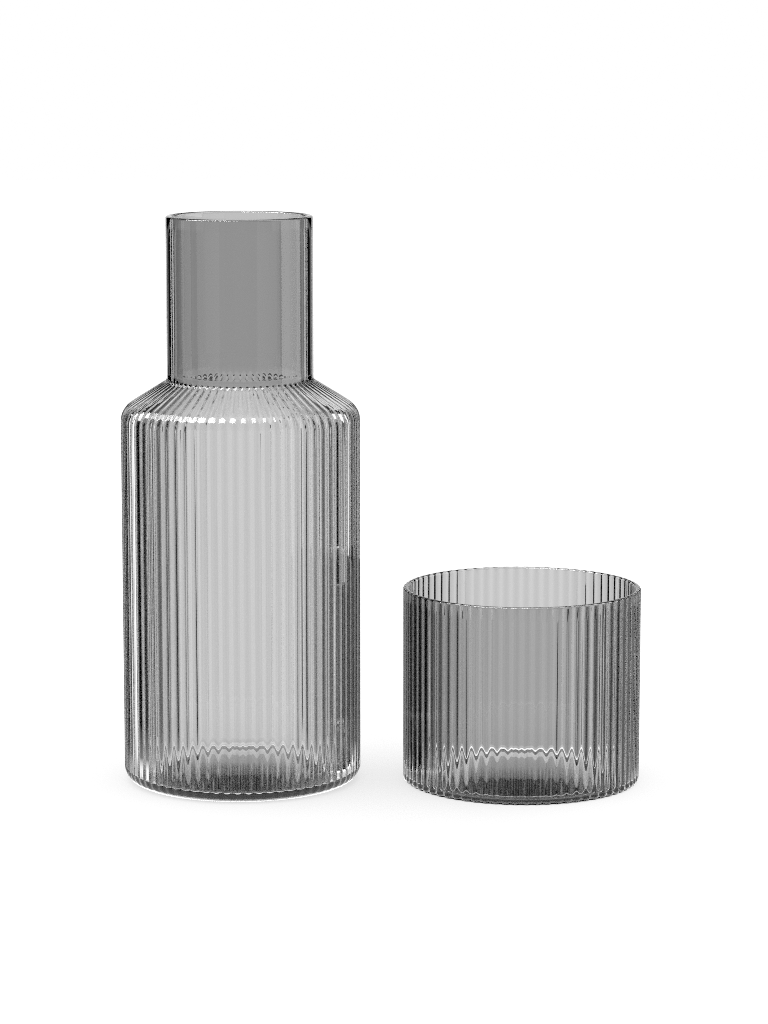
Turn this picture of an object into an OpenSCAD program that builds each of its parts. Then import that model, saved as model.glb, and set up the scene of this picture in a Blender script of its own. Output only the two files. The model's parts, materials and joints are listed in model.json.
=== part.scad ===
// Bedside set in smoked grey glass: a tall ribbed carafe with a plain neck, and the low ribbed
// tumbler that stands beside it. Turned over, the tumbler covers the neck and sits on the shoulder.
// The carafe stands on the origin with its axis along Z, and the tumbler stands towards +X.

/* [Carafe] */
// Outside diameter over the ribs
carafe_d = 86; // [76:0.5:100]
// Height from the table to the rim
carafe_h = 205; // [180:1:240]
// Thickness of the side, from the inside to the crest of a rib
carafe_wall = 1.2; // [1.1:0.1:2.4]
// Thickness of the floor where it meets the side
carafe_floor = 3; // [1.5:0.1:4]
// How much higher the floor is at its middle, inside
carafe_floor_rise = 2.4; // [1:0.1:4]
// Radius of the rounded heel, outside
carafe_heel_r = 5.5; // [3:0.5:7]
// Radius of the hollow where the floor turns up, inside
carafe_corner_r = 2.5; // [2:0.5:12]

/* [Shoulder and neck] */
// Slope of the shoulder, in degrees below the level
shoulder_slope = 32; // [24:1:40]
// Radius of the bend from the side to the shoulder, outside
shoulder_bend_r = 8; // [5:0.5:12]
// Outside diameter of the plain neck
neck_d = 52.6; // [44:0.2:58]
// Height of the plain neck above the shoulder
neck_h = 59; // [45:0.5:70]
// Thickness of the neck's wall
neck_wall = 2.4; // [2:0.1:3]
// Rounding of the rim's two edges
neck_rim_r = 0.9; // [0.4:0.1:0.9]

/* [Tumbler] */
// Outside diameter over the ribs
tumbler_d = 86; // [76:0.5:100]
// Height from the table to the rim
tumbler_h = 71; // [60:0.5:90]
// Thickness of the side, from the inside to the crest of a rib
tumbler_wall = 2.1; // [2:0.1:3.2]
// Thickness of the floor where it meets the side
tumbler_floor = 1.5; // [1.5:0.1:4]
// How much higher the floor is at its middle, inside
tumbler_floor_rise = 2.4; // [1:0.1:4]
// Radius of the rounded heel, outside
tumbler_heel_r = 1.5; // [1.5:0.5:5]
// Radius of the hollow where the floor turns up, inside
tumbler_corner_r = 1.5; // [1.5:0.5:10]
// Rounding of the rim's two edges
tumbler_rim_r = 0.6; // [0.3:0.1:0.6]

/* [Ribs] */
// Number of ribs round each piece
rib_count = 70; // [48:1:80]
// Depth of the valley between two ribs, at full diameter
rib_depth = 0.5; // [0.3:0.05:0.7]
// Height above the table where the carafe's ribs begin, with full depth at the top of the heel
carafe_rib_z = 1; // [0:0.1:2.5]
// How far each piece's ribs are turned, as a share of one rib: 0.5 puts a crest at the front
carafe_rib_turn = 0.5; // [0:0.1:0.9]
tumbler_rib_turn = 0.4; // [0:0.1:0.9]

/* [Underside] */
// Width of the flat ring that each piece stands on
stand_ring_w = 2.5; // [2:0.5:6]
// Height of the hollow under each piece, at its middle
kick_h = 0.8; // [0.4:0.1:1.4]

/* [Placing] */
// Clear distance between the two pieces
stand_gap = 15.5; // [6:0.5:60]
// How far the tumbler stands in front of the carafe's axis
tumbler_forward = 1.5; // [0:0.5:20]

/* [Hidden] */

glass_colour = [0.46, 0.47, 0.48, 0.55];
round_fn = 180;
heel_steps = 4;
bend_steps = 4;
corner_steps = 6;
rim_steps = 3;
kick_steps = 4;
floor_steps = 4;

// How deep each point round one rib lies, from its crest to the valley and back
rib_depth_shares = [0, 0.35, 1, 0.35];
rib_points = len(rib_depth_shares);

// How far a cutting solid runs past the face that it opens
overrun = 1;

carafe_r = carafe_d / 2;
tumbler_r = tumbler_d / 2;
neck_r = neck_d / 2;
bore_r = neck_r - neck_wall;
neck_z = carafe_h - neck_h;

// The ribbed shoulder ends in a small step round the neck, as deep as a rib
shoulder_top_r = neck_r + rib_depth;
bend_turn = 90 - shoulder_slope;
bend_run = shoulder_bend_r * tan(bend_turn / 2);
shoulder_corner_z = neck_z - (carafe_r - shoulder_top_r) * tan(shoulder_slope);
bend_z = shoulder_corner_z - bend_run;

// The inside follows the outside: same slope, with the bend's radius less the wall
inner_bend_r = shoulder_bend_r - carafe_wall;
cavity_r = carafe_r - carafe_wall;
bend_centre_r = carafe_r - shoulder_bend_r;
inner_bend_end = arc_point([bend_centre_r, bend_z], inner_bend_r, bend_turn);
inner_neck_z = inner_bend_end[1] + (inner_bend_end[0] - bore_r) * tan(shoulder_slope);

tumbler_cavity_r = tumbler_r - tumbler_wall;
tumbler_x = carafe_r + stand_gap + tumbler_r;

// A point on an arc in the [radius, height] plane, its angle counted from the level outward line
function arc_point(centre, r, angle) = centre + r * [cos(angle), sin(angle)];
function arc(centre, r, from, to, steps) =
    [for (k = [0:steps]) arc_point(centre, r, from + (to - from) * k / steps)];

// Height of a flat dome over a disc, at a distance from its middle
function dome(height, disc_r, at) = height * (1 - pow(at / disc_r, 2));

// The top of a floor that rises in a flat dome, from its middle to the edge of the corner
function floor_line(edge_z, rise, floor_r) =
    [for (k = [0:floor_steps - 1])
        let (at = floor_r * k / floor_steps)
        [at, edge_z + dome(rise, floor_r, at)]];

// One ring of a ribbed skin, with its crests at radius r and turned back by a share of a rib
function ribbed_ring(r, z, depth, rib_turn) =
    [for (k = [0:rib_count * rib_points - 1])
        let (at = r - depth * rib_depth_shares[k % rib_points],
             angle = 360 * (k - rib_points * rib_turn) / (rib_count * rib_points))
        [at * cos(angle), at * sin(angle), z]];

// Share of the full rib depth at a height: none below start_z, all of it from full_z up
function rib_share(z, start_z, full_z) = max(0, min(1, (z - start_z) / (full_z - start_z)));

// A closed solid whose side is ribbed, from its crest line as [radius, height] points. The ribs
// grow shallower as the radius shrinks, and they begin between start_z and full_z.
module ribbed_solid(crest_line, full_r, start_z, full_z, rib_turn) {
    around = rib_count * rib_points;
    last = len(crest_line) - 1;
    skin = [for (p = crest_line)
        let (depth = rib_depth * p[0] / full_r * rib_share(p[1], start_z, full_z))
        each ribbed_ring(p[0], p[1], depth, rib_turn)];
    middles = [[0, 0, crest_line[0][1]], [0, 0, crest_line[last][1]]];
    low = len(skin);
    high = low + 1;
    sides = [for (j = [0:last - 1], k = [0:around - 1])
        let (next = (k + 1) % around)
        [j * around + k, (j + 1) * around + k, (j + 1) * around + next, j * around + next]];
    floor_fan = [for (k = [0:around - 1]) [low, k, (k + 1) % around]];
    top_fan = [for (k = [0:around - 1]) [high, last * around + (k + 1) % around, last * around + k]];
    polyhedron(points = concat(skin, middles), faces = concat(sides, floor_fan, top_fan));
}

// The shallow hollow under a foot, so that the piece stands on a ring and doesn't rock
module kick(foot_r) {
    kick_r = foot_r - stand_ring_w;
    edge = [for (k = [0:kick_steps])
        let (at = kick_r * (1 - k / kick_steps))
        [at, dome(kick_h, kick_r, at)]];
    rotate_extrude($fn = round_fn)
        polygon(concat([[0, -overrun], [kick_r, -overrun]], edge));
}

module carafe_outside() {
    heel_centre = [carafe_r - carafe_heel_r, carafe_heel_r];
    crest_line = concat(
        arc(heel_centre, carafe_heel_r, -90, 0, heel_steps),
        arc([bend_centre_r, bend_z], shoulder_bend_r, 0, bend_turn, bend_steps),
        [[shoulder_top_r, neck_z]]);
    ribbed_solid(crest_line, carafe_r, carafe_rib_z, carafe_heel_r, carafe_rib_turn);
    neck_line = concat(
        [[0, bend_z], [neck_r, bend_z]],
        arc([neck_r - neck_rim_r, carafe_h - neck_rim_r], neck_rim_r, 0, 90, rim_steps),
        [[0, carafe_h]]);
    rotate_extrude($fn = round_fn) polygon(neck_line);
}

module carafe_inside() {
    corner_centre = [cavity_r - carafe_corner_r, carafe_floor + carafe_corner_r];
    inside_line = concat(
        floor_line(carafe_floor, carafe_floor_rise, corner_centre[0]),
        arc(corner_centre, carafe_corner_r, -90, 0, corner_steps),
        arc([bend_centre_r, bend_z], inner_bend_r, 0, bend_turn, bend_steps),
        [[bore_r, inner_neck_z]],
        arc([bore_r + neck_rim_r, carafe_h - neck_rim_r], neck_rim_r, 180, 90, rim_steps),
        [[bore_r + neck_rim_r, carafe_h + overrun], [0, carafe_h + overrun]]);
    rotate_extrude($fn = round_fn) polygon(inside_line);
}

module carafe() {
    color(glass_colour)
        difference() {
            carafe_outside();
            carafe_inside();
            kick(carafe_r - carafe_heel_r);
        }
}

module tumbler_outside() {
    heel_centre = [tumbler_r - tumbler_heel_r, tumbler_heel_r];
    rim_centre = [tumbler_r - tumbler_rim_r, tumbler_h - tumbler_rim_r];
    crest_line = concat(
        arc(heel_centre, tumbler_heel_r, -90, 0, heel_steps),
        arc(rim_centre, tumbler_rim_r, 0, 90, rim_steps));
    // The tumbler's ribs keep their full depth right down to the table
    ribbed_solid(crest_line, tumbler_r, -tumbler_heel_r, 0, tumbler_rib_turn);
}

module tumbler_inside() {
    corner_centre = [tumbler_cavity_r - tumbler_corner_r, tumbler_floor + tumbler_corner_r];
    rim_centre = [tumbler_cavity_r + tumbler_rim_r, tumbler_h - tumbler_rim_r];
    inside_line = concat(
        floor_line(tumbler_floor, tumbler_floor_rise, corner_centre[0]),
        arc(corner_centre, tumbler_corner_r, -90, 0, corner_steps),
        arc(rim_centre, tumbler_rim_r, 180, 90, rim_steps),
        [[tumbler_cavity_r + tumbler_rim_r, tumbler_h + overrun], [0, tumbler_h + overrun]]);
    rotate_extrude($fn = round_fn) polygon(inside_line);
}

module tumbler() {
    color(glass_colour)
        translate([tumbler_x, -tumbler_forward, 0])
            difference() {
                tumbler_outside();
                tumbler_inside();
                kick(tumbler_r - tumbler_heel_r);
            }
}

carafe();
tumbler();
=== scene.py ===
# %% [markdown]
# # A smoked glass carafe and its tumbler
# The real set is two pieces of blown glass: a tall carafe with fine upright ribs, a ribbed shoulder
# and a plain neck, and a low ribbed tumbler. Clear glass hides nothing, so each piece is modelled as
# one closed wall with an outside, an inside, a floor and a rounded rim. A shell with no
# thickness would be quicker, but light would pass it unbent and the ribs wouldn't show.

# %% Load the fixed frame
import json
import math

import bmesh
import bpy
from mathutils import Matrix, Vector


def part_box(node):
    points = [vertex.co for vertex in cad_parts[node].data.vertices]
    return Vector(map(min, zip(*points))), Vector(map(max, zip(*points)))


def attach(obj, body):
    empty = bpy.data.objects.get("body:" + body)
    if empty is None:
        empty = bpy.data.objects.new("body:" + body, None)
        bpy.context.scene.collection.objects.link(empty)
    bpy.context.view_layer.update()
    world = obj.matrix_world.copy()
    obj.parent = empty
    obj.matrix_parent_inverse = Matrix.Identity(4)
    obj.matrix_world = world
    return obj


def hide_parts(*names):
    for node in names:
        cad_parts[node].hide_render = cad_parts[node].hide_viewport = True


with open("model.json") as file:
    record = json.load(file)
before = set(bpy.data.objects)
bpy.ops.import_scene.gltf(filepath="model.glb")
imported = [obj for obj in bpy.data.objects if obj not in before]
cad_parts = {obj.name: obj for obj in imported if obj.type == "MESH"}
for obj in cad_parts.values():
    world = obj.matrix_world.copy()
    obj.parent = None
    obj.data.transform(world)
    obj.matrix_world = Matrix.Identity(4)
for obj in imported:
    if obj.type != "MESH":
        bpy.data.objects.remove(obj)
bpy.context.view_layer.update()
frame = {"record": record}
MM = 0.001

carafe_low, carafe_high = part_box("carafe")
tumbler_low, tumbler_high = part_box("tumbler")
mounts = {m["name"]: m for m in frame["record"]["mounts"]}

CARAFE_R = max(carafe_high.x - carafe_low.x, carafe_high.y - carafe_low.y) / 2
CARAFE_H = carafe_high.z
TUMBLER_R = max(tumbler_high.x - tumbler_low.x, tumbler_high.y - tumbler_low.y) / 2
TUMBLER_H = tumbler_high.z
TUMBLER_FOOT = Vector(mounts["tumbler_base"]["pos_m"])
BORE_R = mounts["neck_bore"]["dims"]["r_mm"] * MM
print("carafe", round(CARAFE_R / MM, 2), "x", round(CARAFE_H / MM, 2), "mm, tumbler",
      round(TUMBLER_R / MM, 2), "x", round(TUMBLER_H / MM, 2), "mm")

# %% [markdown]
# ## The camera
# The set was pictured from a little above, with a long lens: the verticals stay upright and the rims
# are flat ellipses. A lens of this length at this distance gives the same flat ellipses, where a
# nearer camera would open them.

# %% Camera
CAMERA_PLACE = (51.57 * MM, -1179.56 * MM, 281.26 * MM)
CAMERA_DOWN = math.radians(8.83)
CAMERA_LENS = 116.2

bpy.ops.object.camera_add(location=CAMERA_PLACE, rotation=(math.pi / 2 - CAMERA_DOWN, 0, 0))
camera = bpy.context.object
camera.data.sensor_width = 36.0
camera.data.lens = CAMERA_LENS
bpy.context.scene.camera = camera
print("camera looks down", round(math.degrees(CAMERA_DOWN), 2), "degrees")

# %% [markdown]
# ## Rings that grow into glass
# Both pieces are round, so each starts as a circle under the foot that is extruded again and again:
# out to the heel, up the side, over the rim, down the inside and in across the floor. Every new ring
# is then resized, which is how a glass blower reads the shape too. Ten points to a rib let a ring be
# drawn in between the crests, so that the ribs are real lenses and not a pattern.

# %% Ring tools
RIBS = 70
POINTS_PER_RIB = 10
RING_POINTS = RIBS * POINTS_PER_RIB
RIB_DEPTH = 0.5 * MM
# The rise from a valley to a crest is a half wave
valley_shares = [0.5 - 0.5 * math.cos(2 * math.pi * k / POINTS_PER_RIB) for k in range(POINTS_PER_RIB)]


def arc(centre, radius, start, end, steps):
    """Points (radius, height) on an arc, with angles in degrees from the level outward line."""
    turns = [math.radians(start + (end - start) * k / steps) for k in range(steps + 1)]
    return [(centre[0] + radius * math.cos(t), centre[1] + radius * math.sin(t)) for t in turns]


def line(start, end, steps):
    """Points between two places, without the first."""
    return [(start[0] + (end[0] - start[0]) * k / steps, start[1] + (end[1] - start[1]) * k / steps)
            for k in range(1, steps + 1)]


def phase_of(vert, rib_turn):
    """Which of a rib's points a vertex is, 0 on the crest, with the ribs turned back by some points."""
    point = round(math.atan2(vert.co.y, vert.co.x) * RING_POINTS / (2 * math.pi))
    return (point + rib_turn) % POINTS_PER_RIB


def pick(bm, verts):
    """Select these vertices and the edges between them, and nothing else."""
    bpy.ops.mesh.select_all(action="DESELECT")
    for vert in verts:
        vert.select_set(True)
    bm.select_flush(True)


def draw_in(radii, wanted, rib_turn):
    """Resize the newest ring, point by point of a rib, from its radii to the wanted ones."""
    factors = [new / old for new, old in zip(wanted, radii)]
    if max(factors) - min(factors) < 1e-6:
        bpy.ops.transform.resize(value=(factors[0], factors[0], 1), center_override=(0, 0, 0))
        return
    bm = bmesh.from_edit_mesh(bpy.context.object.data)
    bm.verts.ensure_lookup_table()
    newest = bm.verts[-RING_POINTS:]
    groups = {}
    for vert in newest:
        groups.setdefault(round(factors[phase_of(vert, rib_turn)], 7), []).append(vert)
    for factor, verts in groups.items():
        pick(bm, verts)
        bpy.ops.transform.resize(value=(factor, factor, 1), center_override=(0, 0, 0))
    pick(bm, newest)


def grow(name, stations, rib_turn):
    """Model a round piece from stations of (radius, height, rib depth), and close both its poles."""
    bpy.ops.object.select_all(action="DESELECT")
    radius, height, _ = stations[0]
    bpy.ops.mesh.primitive_circle_add(vertices=RING_POINTS, radius=radius)
    piece = bpy.context.object
    piece.name = name
    bpy.ops.object.mode_set(mode="EDIT")
    bpy.ops.mesh.select_mode(type="VERT")
    bpy.ops.transform.translate(value=(0, 0, height))
    radii = [radius] * POINTS_PER_RIB
    for radius, new_height, depth in stations[1:]:
        bpy.ops.mesh.extrude_region_move(TRANSFORM_OT_translate={"value": (0, 0, new_height - height)})
        wanted = [radius - depth * share for share in valley_shares]
        draw_in(radii, wanted, rib_turn)
        radii, height = wanted, new_height
    bpy.ops.mesh.merge(type="CENTER")
    bm = bmesh.from_edit_mesh(piece.data)
    bm.verts.ensure_lookup_table()
    pick(bm, bm.verts[:RING_POINTS])
    bpy.ops.mesh.merge(type="CENTER")
    bpy.ops.mesh.select_all(action="SELECT")
    bpy.ops.mesh.normals_make_consistent(inside=False)
    bpy.ops.object.mode_set(mode="OBJECT")
    bpy.ops.object.shade_smooth()
    print(name, len(piece.data.vertices), "vertices,", 2 * len(piece.data.vertices), "triangles")
    return piece


def plain(points):
    """Stations with no ribs."""
    return [(r, z, 0.0) for r, z in points]


# %% [markdown]
# ## The foot
# Blown glass stands on a ring, because the middle of its foot is pushed up a little. The top of the
# floor rises more than its underside does, so the floor is a weak lens. Its front half then throws
# light up, and shows the dark of the room, while its back half lets through the table's painted light.

# %% Foot
STAND_RING_W = 2.5 * MM
KICK_H = 0.8 * MM
# Radius of the last ring round a pole, before it closes to a point
POLE_R = 1.5 * MM
# Where the rings of the hollow lie, as shares of its radius
DOME_SHARES = (0.35, 0.7, 0.93, 1.0)
FLOOR_RINGS = 8


def foot(outer_r):
    """Stations from the middle of the hollow underside out to the standing ring."""
    kick_r = outer_r - STAND_RING_W
    dome = [(kick_r * s, KICK_H * (1 - s * s)) for s in DOME_SHARES]
    return plain([(POLE_R, KICK_H)] + dome + [(kick_r + STAND_RING_W / 2, 0.0)])


def floor_top(edge_r, edge_z, rise):
    """Points over the top of a floor, from its edge up to near its middle, without the first."""
    shares = [1 - k / FLOOR_RINGS for k in range(1, FLOOR_RINGS)]
    return [(edge_r * s, edge_z + rise * (1 - s * s)) for s in shares] + [(POLE_R, edge_z + rise)]


# %% [markdown]
# ## The carafe
# The heel is round, the side is straight, a tight bend leads into the sloping shoulder, and the neck
# rises from it. The ribs fade out over the heel, which leaves a plain ring to stand on, and they
# stop at the foot of the neck. The inside follows the outside without the ribs, down to a small
# hollow where the side meets the thick floor.

# %% Carafe, outside
# In points of a rib: half of one, so that a crest faces the front
CARAFE_RIB_TURN = 5
HEEL_R = 5.5 * MM
RIB_START_Z = 1.0 * MM
SHOULDER_SLOPE = 32.0
BEND_R = 8.0 * MM
NECK_R = 26.3 * MM
NECK_H = 59.0 * MM
NECK_RIM_R = 0.9 * MM
# The neck leaves the shoulder in a small round. Its rings lie at these shares of its width and
# height, with this share of the ribs left.
NECK_ROUND_W = 0.5 * MM
NECK_ROUND_H = 1.4 * MM
NECK_ROUND_RINGS = ((0.5, 0.25, 0.4), (0.15, 0.6, 0.1))
HEEL_STEPS, SIDE_STEPS, BEND_STEPS, SHOULDER_STEPS, NECK_STEPS, RIM_STEPS = 9, 22, 8, 8, 8, 5

neck_z = CARAFE_H - NECK_H
bend_turn = 90.0 - SHOULDER_SLOPE
slope = math.tan(math.radians(SHOULDER_SLOPE))
shoulder_top_r = NECK_R + NECK_ROUND_W
corner_z = neck_z - (CARAFE_R - shoulder_top_r) * slope
bend_z = corner_z - BEND_R * math.tan(math.radians(bend_turn / 2))
bend_centre = (CARAFE_R - BEND_R, bend_z)


def carafe_ribs(points):
    """Stations whose ribs fade out over the heel."""
    shares = [min(1.0, max(0.0, (z - RIB_START_Z) / (HEEL_R - RIB_START_Z))) for _, z in points]
    return [(r, z, RIB_DEPTH * s) for (r, z), s in zip(points, shares)]


heel = arc((CARAFE_R - HEEL_R, HEEL_R), HEEL_R, -90, 0, HEEL_STEPS)
side = line(heel[-1], (CARAFE_R, bend_z), SIDE_STEPS)
bend = arc(bend_centre, BEND_R, 0, bend_turn, BEND_STEPS)[1:]
shoulder = line(bend[-1], (shoulder_top_r, neck_z), SHOULDER_STEPS)
neck_round = [(NECK_R + NECK_ROUND_W * wide, neck_z + NECK_ROUND_H * high, RIB_DEPTH * deep)
              for wide, high, deep in NECK_ROUND_RINGS]
neck = line((NECK_R, neck_z), (NECK_R, CARAFE_H - NECK_RIM_R), NECK_STEPS)
neck[0] = (NECK_R, neck_z + NECK_ROUND_H)
rim_out = arc((NECK_R - NECK_RIM_R, CARAFE_H - NECK_RIM_R), NECK_RIM_R, 0, 90, RIM_STEPS)[1:]
carafe_outside = carafe_ribs(heel + side + bend + shoulder) + neck_round + plain(neck + rim_out)
print("shoulder from", round(bend_z / MM, 1), "to", round(neck_z / MM, 1), "mm")

# %% Carafe, inside
CARAFE_WALL = 1.2 * MM
CARAFE_FLOOR = 3.0 * MM
CARAFE_FLOOR_RISE = 2.4 * MM
CARAFE_CORNER_R = 2.5 * MM
# The throat, where the shoulder's inside turns up into the neck. Its first rings lie at these
# shares of its width, out from the bore and up from the corner.
THROAT_W = 2.5 * MM
THROAT_RINGS = ((0.12, 0.3), (0.45, -0.15))
BORE_STEPS, INNER_SHOULDER_STEPS, INNER_BEND_STEPS, INNER_SIDE_STEPS, CORNER_STEPS = 7, 4, 6, 18, 10

cavity_r = CARAFE_R - CARAFE_WALL
inner_bend = arc(bend_centre, BEND_R - CARAFE_WALL, bend_turn, 0, INNER_BEND_STEPS)
throat_z = inner_bend[0][1] + (inner_bend[0][0] - BORE_R) * slope
rim_in = arc((BORE_R + NECK_RIM_R, CARAFE_H - NECK_RIM_R), NECK_RIM_R, 90, 180, RIM_STEPS)
bore = line(rim_in[-1], (BORE_R, throat_z + THROAT_W), BORE_STEPS)
throat = [(BORE_R + THROAT_W * wide, throat_z + THROAT_W * high)
          for wide, high in THROAT_RINGS + ((1.0, -slope),)]
inner_shoulder = line(throat[-1], inner_bend[0], INNER_SHOULDER_STEPS)
corner_centre = (cavity_r - CARAFE_CORNER_R, CARAFE_FLOOR + CARAFE_CORNER_R)
inner_side = line(inner_bend[-1], (cavity_r, corner_centre[1]), INNER_SIDE_STEPS)
corner = arc(corner_centre, CARAFE_CORNER_R, 0, -90, CORNER_STEPS)[1:]
inner_floor = floor_top(corner_centre[0], CARAFE_FLOOR, CARAFE_FLOOR_RISE)
carafe_inside = plain(rim_in + bore + throat + inner_shoulder + inner_bend[1:] + inner_side
                      + corner + inner_floor)
carafe_glass = grow("carafe_glass", foot(CARAFE_R - HEEL_R) + carafe_outside + carafe_inside,
                    CARAFE_RIB_TURN)

# %% [markdown]
# ## The tumbler
# The tumbler has a tighter heel, and its ribs run from the table to the rim, so that its foot is
# beaded. It is grown on the carafe's axis, where its rings are easy to resize, and then moved to its
# place in edit mode, which leaves the object itself at the origin.

# %% Tumbler
# In points of a rib, as the carafe's
TUMBLER_RIB_TURN = 4
TUMBLER_HEEL_R = 1.5 * MM
TUMBLER_WALL = 2.1 * MM
TUMBLER_FLOOR = 1.5 * MM
TUMBLER_FLOOR_RISE = 2.4 * MM
TUMBLER_CORNER_R = 1.5 * MM
TUMBLER_RIM_R = 0.8 * MM
# The fire that rounds the rim also softens the last of the ribs
RIM_RIB_SHARE = 0.7
T_HEEL_STEPS, T_SIDE_STEPS, T_CORNER_STEPS = 7, 14, 9

t_cavity_r = TUMBLER_R - TUMBLER_WALL
t_rim_z = TUMBLER_H - TUMBLER_RIM_R
t_heel = arc((TUMBLER_R - TUMBLER_HEEL_R, TUMBLER_HEEL_R), TUMBLER_HEEL_R, -90, 0, T_HEEL_STEPS)
t_side = line(t_heel[-1], (TUMBLER_R, t_rim_z), T_SIDE_STEPS)
t_rim_out = arc((TUMBLER_R - TUMBLER_RIM_R, t_rim_z), TUMBLER_RIM_R, 0, 90, RIM_STEPS)[1:]
t_rim_in = arc((t_cavity_r + TUMBLER_RIM_R, t_rim_z), TUMBLER_RIM_R, 90, 180, RIM_STEPS)
t_corner_centre = (t_cavity_r - TUMBLER_CORNER_R, TUMBLER_FLOOR + TUMBLER_CORNER_R)
t_inner_side = line(t_rim_in[-1], (t_cavity_r, t_corner_centre[1]), T_SIDE_STEPS)
t_corner = arc(t_corner_centre, TUMBLER_CORNER_R, 0, -90, T_CORNER_STEPS)[1:]
t_floor = floor_top(t_corner_centre[0], TUMBLER_FLOOR, TUMBLER_FLOOR_RISE)
tumbler_outside = ([(r, z, RIB_DEPTH) for r, z in t_heel + t_side]
                   + [(r, z, RIB_DEPTH * RIM_RIB_SHARE) for r, z in t_rim_out])
tumbler_glass = grow("tumbler_glass", foot(TUMBLER_R - TUMBLER_HEEL_R) + tumbler_outside
                     + plain(t_rim_in + t_inner_side + t_corner + t_floor), TUMBLER_RIB_TURN)

bpy.ops.object.mode_set(mode="EDIT")
bpy.ops.mesh.select_all(action="SELECT")
bpy.ops.transform.translate(value=TUMBLER_FOOT)
bpy.ops.object.mode_set(mode="OBJECT")
print("tumbler stands at", [round(v / MM, 2) for v in TUMBLER_FOOT])

# %% [markdown]
# ## Smoked glass
# The tint is in the glass and not on it: a thick foot is darker than a thin side. So the surface is
# clear, and a Volume Absorption inside the wall takes light by the millimetre. Rays from lamps pass
# straight through a tinted Transparent shader, so that the floor gets the soft grey shadow of glass
# and not the black one of a solid.

# %% Glass material
GLASS_IOR = 1.5
SMOKE_PER_MM = 0.25
SMOKE_COLOUR = (0.0, 0.0, 0.0, 1.0)
SHADOW_TINT = (0.72, 0.72, 0.72, 1.0)


def new_material(name):
    """A material with an empty node tree and its output node."""
    material = bpy.data.materials.new(name)
    material.use_nodes = True
    material.node_tree.nodes.clear()
    return material, material.node_tree, material.node_tree.nodes.new("ShaderNodeOutputMaterial")


smoked, tree, out = new_material("smoked_glass")
glass = tree.nodes.new("ShaderNodeBsdfPrincipled")
glass.inputs["Base Color"].default_value = (1.0, 1.0, 1.0, 1.0)
glass.inputs["Roughness"].default_value = 0.0
glass.inputs["IOR"].default_value = GLASS_IOR
glass.inputs["Transmission Weight"].default_value = 1.0
through = tree.nodes.new("ShaderNodeBsdfTransparent")
through.inputs["Color"].default_value = SHADOW_TINT
path = tree.nodes.new("ShaderNodeLightPath")
mix = tree.nodes.new("ShaderNodeMixShader")
tree.links.new(path.outputs["Is Shadow Ray"], mix.inputs[0])
tree.links.new(glass.outputs[0], mix.inputs[1])
tree.links.new(through.outputs[0], mix.inputs[2])
tree.links.new(mix.outputs[0], out.inputs["Surface"])
smoke = tree.nodes.new("ShaderNodeVolumeAbsorption")
smoke.inputs["Color"].default_value = SMOKE_COLOUR
smoke.inputs["Density"].default_value = SMOKE_PER_MM / MM
tree.links.new(smoke.outputs[0], out.inputs["Volume"])

for piece, body in ((carafe_glass, "carafe"), (tumbler_glass, "tumbler")):
    piece.data.materials.append(smoked)
    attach(piece, body)
    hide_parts(body)
print("smoke takes", round(100 * (1 - math.exp(-SMOKE_PER_MM)), 1), "% of the light in each millimetre")

# %% [markdown]
# ## Light for glass
# Glass shows what stands round it. A bright field behind it makes it clear, a black flag at each
# side of the field draws the dark line down every rib, and the panels beyond the flags draw the
# white one. All of that is one world, painted by direction, that only reflected and transmitted
# rays see. The camera sees plain white instead.

# %% World
# The room is five bands of panels, from under the table to overhead. Each has the height in degrees
# where it ends, and its panels: the angle that each starts from, counted both ways from the
# direction that the main camera looks in, and its light. Every side of the room has a panel.
ROOM = (
    (-14, ((0, 0.9), (60, 2.0), (120, 0.3))),
    (14, ((0, 1.0), (23.5, 0.0), (44, 2.2), (48, 0.1), (51, 2.2), (56, 0.0), (80, 0.85), (100, 0.0),
          (112, 0.75), (150, 0.45))),
    (35, ((0, 0.02), (12.5, 1.6), (25, 0.0), (40, 2.0), (60, 0.4), (80, 0.0), (140, 0.35))),
    (62, ((0, 0.15),)),
    (90, ((0, 1.6),)),
)
# One band passes into the next over this many degrees to either side
BAND_BLUR = 1.5
# A ColorRamp's greys end at 1, so they are shares of this light
STRONGEST = 4.0
# A long softbox curves over the set from the left, round this axis. The glass's outside mirrors it
# in a row of bright dots on the bend.
SOFTBOX_AXIS = Vector((0.047, 0.442, 0.896))
# It lies between these shares of the axis, and goes no farther right or back than these shares
SOFTBOX_FROM, SOFTBOX_TO = 0.47, 0.82
SOFTBOX_RIGHT, SOFTBOX_BACK = -0.02, 0.25
SOFTBOX_LIGHT = 12.0
# Another stands to the right, in degrees from straight behind. It gives the neck its lighter band.
SIDE_BOX_FROM, SIDE_BOX_TO, SIDE_BOX_LIGHT = 68.0, 109.0, 2.2
# Only a ray that met one face sees the softboxes. The world counts itself as one meeting more.
ONE_MEETING = 2.5
WHITE = (1.0, 1.0, 1.0, 1.0)


def math_node(tree, operation, first, second=None):
    """A Math node on a socket and a socket or a number, giving its output."""
    node = tree.nodes.new("ShaderNodeMath")
    node.operation = operation
    for socket, value in zip(node.inputs, (first, second)):
        if isinstance(value, (int, float)):
            socket.default_value = value
        elif value is not None:
            tree.links.new(value, socket)
    return node.outputs[0]


def along(tree, direction, axis):
    """The share of a direction that lies along an axis."""
    node = tree.nodes.new("ShaderNodeVectorMath")
    node.operation = "DOT_PRODUCT"
    tree.links.new(direction, node.inputs[0])
    node.inputs[1].default_value = axis
    return node.outputs["Value"]


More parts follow.
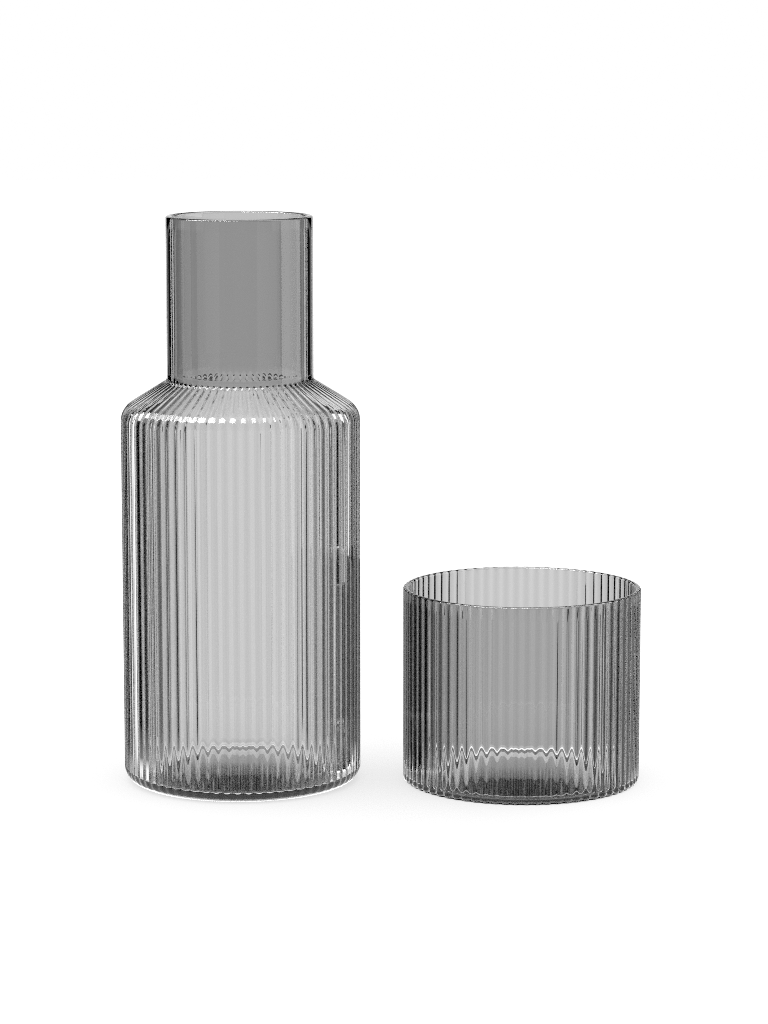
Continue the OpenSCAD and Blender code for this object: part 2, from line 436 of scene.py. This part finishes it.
def ramp_node(tree, factor, stops):
    """A ColorRamp of greys from (place, light) stops, each light reaching to the next place."""
    node = tree.nodes.new("ShaderNodeValToRGB")
    tree.links.new(factor, node.inputs[0])
    ramp = node.color_ramp
    ramp.interpolation = "CONSTANT"
    ramp.elements.remove(ramp.elements[1])
    for k, (place, light) in enumerate(stops):
        element = ramp.elements[0] if k == 0 else ramp.elements.new(place)
        element.position = place
        element.color = (light / STRONGEST,) * 3 + (1.0,)
    return node.outputs["Color"]


def step_node(tree, value, start, end):
    """0 up to one value and 1 from another, with a straight rise between them."""
    node = tree.nodes.new("ShaderNodeMapRange")
    tree.links.new(value, node.inputs["Value"])
    node.inputs["From Min"].default_value = start
    node.inputs["From Max"].default_value = end
    return node.outputs[0]


def mix_node(tree, factor, first, second):
    """A Mix Shader of two shaders, giving its output."""
    node = tree.nodes.new("ShaderNodeMixShader")
    tree.links.new(factor, node.inputs[0])
    tree.links.new(first, node.inputs[1])
    tree.links.new(second, node.inputs[2])
    return node.outputs[0]


def bent_ray(tree):
    """1 for a ray that glass has reflected or refracted, and 0 for one from the camera or a lamp."""
    outputs = tree.nodes.new("ShaderNodeLightPath").outputs
    return math_node(tree, "MAXIMUM", outputs["Is Glossy Ray"], outputs["Is Transmission Ray"])


def room_light(tree, colour, strength):
    """A light of the world, from a colour or a socket."""
    node = tree.nodes.new("ShaderNodeBackground")
    node.inputs["Strength"].default_value = strength
    if isinstance(colour, tuple):
        node.inputs["Color"].default_value = colour
    else:
        tree.links.new(colour, node.inputs["Color"])
    return node.outputs[0]


world = bpy.data.worlds.new("studio")
world.use_nodes = True
bpy.context.scene.world = world
tree = world.node_tree
tree.nodes.clear()
out = tree.nodes.new("ShaderNodeOutputWorld")
direction = tree.nodes.new("ShaderNodeTexCoord").outputs["Generated"]
split = tree.nodes.new("ShaderNodeSeparateXYZ")
tree.links.new(direction, split.inputs[0])
compass = math_node(tree, "ARCTAN2", split.outputs["X"], split.outputs["Y"])
half_turn = math_node(tree, "DIVIDE", math_node(tree, "ABSOLUTE", compass), math.pi)
height = split.outputs["Z"]

room, floor_of_band = None, None
for top, panels in ROOM:
    ramp = ramp_node(tree, half_turn, [(degrees / 180, light) for degrees, light in panels])
    band = room_light(tree, ramp, STRONGEST)
    if room is None:
        room = band
    else:
        edges = [math.sin(math.radians(floor_of_band + side * BAND_BLUR)) for side in (-1, 1)]
        room = mix_node(tree, step_node(tree, height, *edges), room, band)
    floor_of_band = top
print("the room has", sum(len(panels) for _, panels in ROOM), "panels in", len(ROOM), "bands")

off_axis = along(tree, direction, SOFTBOX_AXIS)
in_softbox = math_node(tree, "GREATER_THAN", off_axis, SOFTBOX_FROM)
for value, limit in ((off_axis, SOFTBOX_TO), (split.outputs["X"], SOFTBOX_RIGHT),
                     (split.outputs["Y"], SOFTBOX_BACK)):
    in_softbox = math_node(tree, "MULTIPLY", in_softbox, math_node(tree, "LESS_THAN", value, limit))
in_side_box = math_node(tree, "GREATER_THAN", compass, math.radians(SIDE_BOX_FROM))
in_side_box = math_node(tree, "MULTIPLY", in_side_box,
                        math_node(tree, "LESS_THAN", compass, math.radians(SIDE_BOX_TO)))
lamps = mix_node(tree, in_side_box, room, room_light(tree, WHITE, SIDE_BOX_LIGHT))
lamps = mix_node(tree, in_softbox, lamps, room_light(tree, WHITE, SOFTBOX_LIGHT))
depth = tree.nodes.new("ShaderNodeLightPath").outputs["Ray Depth"]
first_bounce = math_node(tree, "LESS_THAN", depth, ONE_MEETING)
studio = mix_node(tree, first_bounce, room, lamps)
backdrop = room_light(tree, WHITE, 1.0)
tree.links.new(mix_node(tree, bent_ray(tree), backdrop, studio), out.inputs["Surface"])

# %% [markdown]
# ## The table
# The table is plain and white. Part of its white is its own, so that the camera sees it pure, and the
# rest is light that falls on it, which the glass can shade. A ray that the glass has bent finds light
# and shade painted on the table: painted bright rings near the set, dark only in a painted shadow ring
# where a foot rests on it. That painted ring is what gives a glass foot its dark heart and its bright
# edge. Farther out such a ray passes through the table into the studio, because it would otherwise
# always land on the same white.

# %% Table
TABLE_HALF = 4.0
OWN_LIGHT = 0.68
PAPER_GREY = (0.45, 0.45, 0.45, 1.0)
# The distance from the axis of the nearer piece in mm that each painted ring of light and shade starts
# from, and its light
PAINTED_TABLE_RINGS = ((0.0, 1.3), (20.0, 2.6), (30.0, 0.0), (34.5, 0.1), (38.3, 3.2), (41.0, 1.3))
# Where bent rays begin to pass through the table, and where they all do
PASS_FROM, PASS_TO = 46.0, 50.0
# The tumbler's foot is this much wider than the carafe's
WIDER_FOOT = (TUMBLER_R - TUMBLER_HEEL_R) - (CARAFE_R - HEEL_R)

bpy.ops.mesh.primitive_plane_add(size=2 * TABLE_HALF)
table = bpy.context.object
table.name = "table"
table_top, tree, out = new_material("table_top")
place = tree.nodes.new("ShaderNodeTexCoord").outputs["Object"]


def distance_from(centre):
    """Distance over the table from a place on it."""
    node = tree.nodes.new("ShaderNodeVectorMath")
    node.operation = "DISTANCE"
    tree.links.new(place, node.inputs[0])
    node.inputs[1].default_value = centre
    return node.outputs["Value"]


from_tumbler = math_node(tree, "SUBTRACT", distance_from(TUMBLER_FOOT), WIDER_FOOT)
nearest = math_node(tree, "MINIMUM", distance_from((0.0, 0.0, 0.0)), from_tumbler)
# Painted light and painted shadow: rings of glow on the table that only bent rays see
painted_rings = ramp_node(tree, math_node(tree, "DIVIDE", nearest, PASS_TO * MM),
                  [(reach / PASS_TO, light) for reach, light in PAINTED_TABLE_RINGS])
# The painted rings glow with their own light, though the table is no lamp
painted_glow = tree.nodes.new("ShaderNodeEmission")
tree.links.new(painted_rings, painted_glow.inputs["Color"])
painted_glow.inputs["Strength"].default_value = STRONGEST
clear = tree.nodes.new("ShaderNodeBsdfTransparent")
passing = step_node(tree, nearest, PASS_FROM * MM, PASS_TO * MM)
seen_bent = mix_node(tree, passing, painted_glow.outputs[0], clear.outputs[0])
paper = tree.nodes.new("ShaderNodeBsdfDiffuse")
paper.inputs["Color"].default_value = PAPER_GREY
glow = tree.nodes.new("ShaderNodeEmission")
glow.inputs["Strength"].default_value = OWN_LIGHT
both = tree.nodes.new("ShaderNodeAddShader")
tree.links.new(paper.outputs[0], both.inputs[0])
tree.links.new(glow.outputs[0], both.inputs[1])
tree.links.new(mix_node(tree, bent_ray(tree), both.outputs[0], seen_bent), out.inputs["Surface"])
table.data.materials.append(table_top)

# %% Finish
scene = bpy.context.scene
scene.cycles.max_bounces = 32
scene.cycles.transmission_bounces = 32
scene.cycles.glossy_bounces = 16
scene.cycles.transparent_max_bounces = 32
# Smoke makes a path faint, and Cycles then ends it by chance, which shows as grain. No path of a
# dozen surfaces is ended early here. The light that glass throws on the table is left out, because
# it would be grain too.
scene.cycles.min_light_bounces = 32
scene.cycles.caustics_reflective = False
scene.cycles.caustics_refractive = False
# Denoising and a wide filter would smear the fine lines of the ribs
scene.cycles.use_denoising = False
scene.cycles.filter_width = 1.0
scene.view_settings.view_transform = "Standard"
